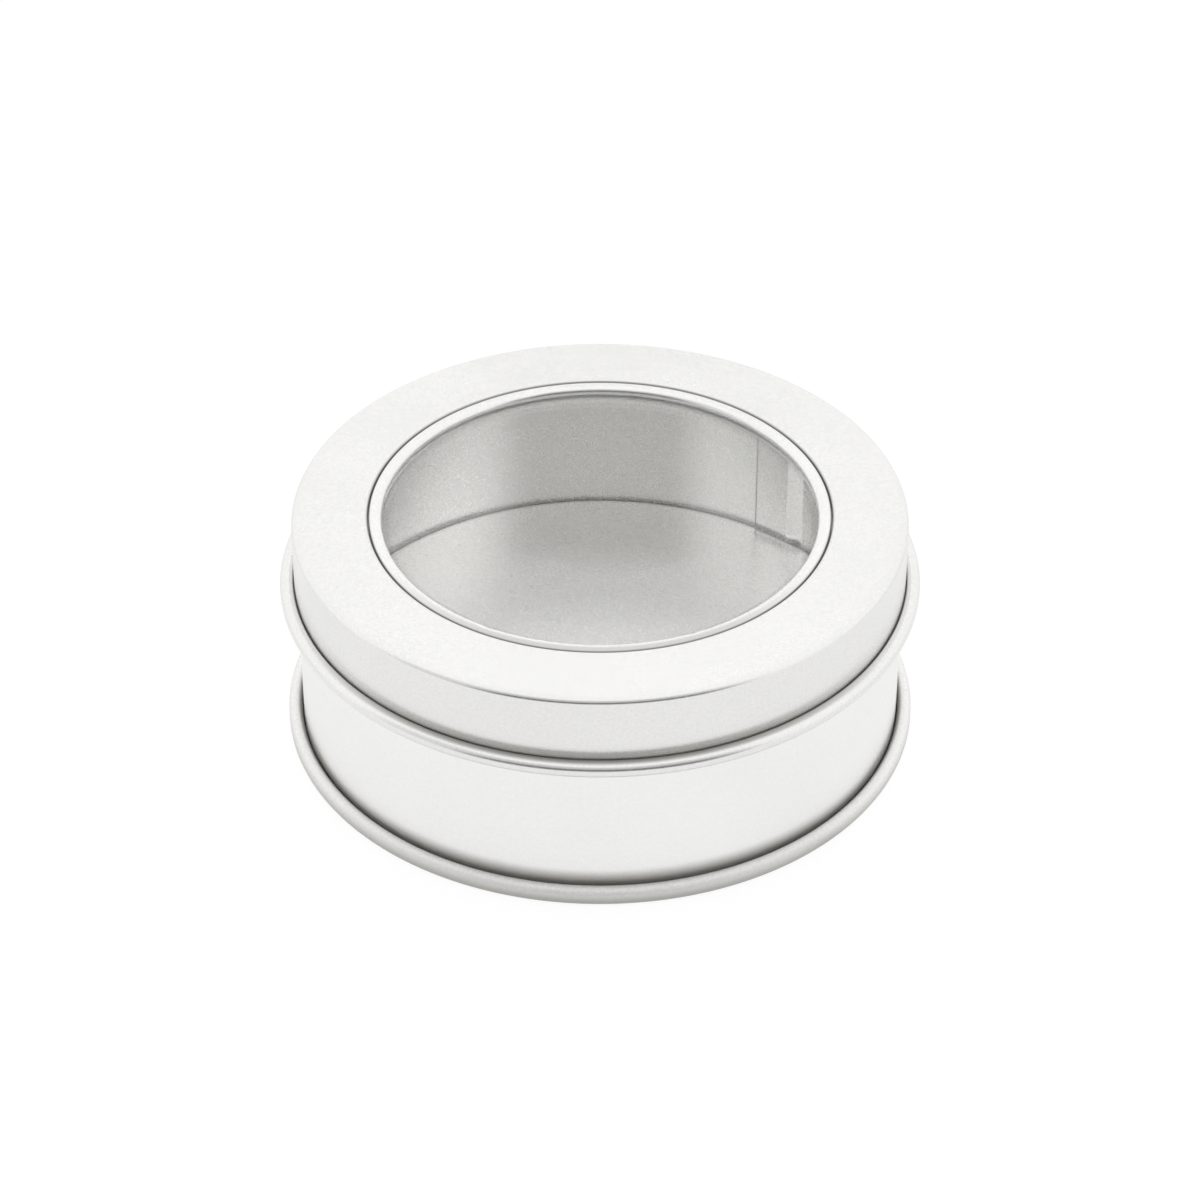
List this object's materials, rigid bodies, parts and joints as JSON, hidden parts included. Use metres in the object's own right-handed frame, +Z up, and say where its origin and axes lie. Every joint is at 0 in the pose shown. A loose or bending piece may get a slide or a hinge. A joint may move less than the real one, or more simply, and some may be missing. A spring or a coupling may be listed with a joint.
{
  "type": "window lid tin",
  "caption": "Low round tinplate tin with a slip lid that holds a clear window, a curled lid edge and a rolled base rim.",
  "frame": {"origin": "centre of the tin at the table, under the base rim", "axes": "+Z up along the tin's axis, the way the lid lifts off; +Y to the back, with the lock seam 38 degrees clockwise from it seen from above"},
  "size_m": [0.089, 0.089, 0.0336],
  "materials": {
    "body_wall": "satin tinplate, bright white-silver outside, fine grain inside",
    "bottom_end": "satin tinplate with a fine grain",
    "lid_shell": "satin tinplate, bright white-silver",
    "window_ring": "satin tinplate, bright white-silver",
    "window_pane": "clear glossy plastic sheet"
  },
  "bodies": {
    "tin": {"body_wall": "body_wall", "bottom_end": "bottom_end"},
    "lid": {"lid_shell": "lid_shell", "window_ring": "window_ring", "window_pane": "window_pane"}
  },
  "joints": [
    {"name": "lid_lift", "type": "slide", "parent": "tin", "child": "lid", "axis": [0, 0, 1], "range_m": [0, 0.04]}
  ]
}
